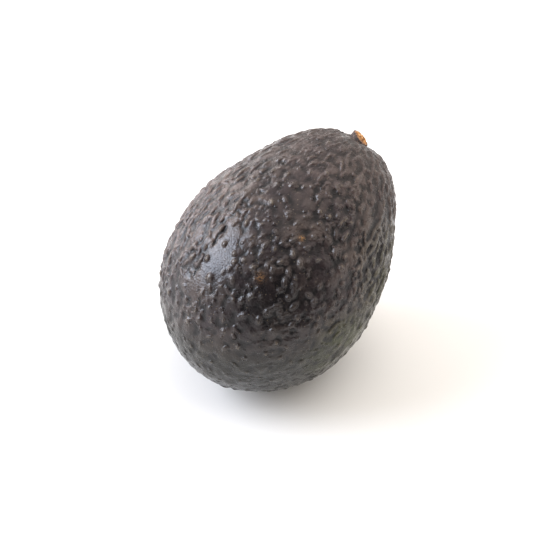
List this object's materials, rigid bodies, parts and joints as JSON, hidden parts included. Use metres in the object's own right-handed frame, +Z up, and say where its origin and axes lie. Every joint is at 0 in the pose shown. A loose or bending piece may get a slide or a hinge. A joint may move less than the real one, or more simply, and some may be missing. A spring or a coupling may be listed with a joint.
{
  "type": "avocado",
  "caption": "Whole ripe avocado with dark pebbled skin, egg-shaped, resting on the side of its broad end, with the woody stub of its cut stem still seated in a shallow pit at the raised narrow end.",
  "frame": {"origin": "centre of the small flat spot that the fruit rests on", "axes": "+Z is up, square to the flat spot. The raised stem end leans toward +Y, so the fruit's long axis lies in the Y-Z plane, about 29 degrees above the resting surface. +X is one side of the fruit."},
  "size_m": [0.0687, 0.0842, 0.0765],
  "materials": {
    "skin": "dark purple-brown to black pebbled rind, leathery, with a waxy half gloss",
    "stem_wood": "dry tan to orange-brown cut wood with a thin dark bark rim, rough and dull"
  },
  "bodies": {
    "root": {"avocado_fruit": "skin", "stem_stub": "stem_wood"}
  },
  "joints": []
}
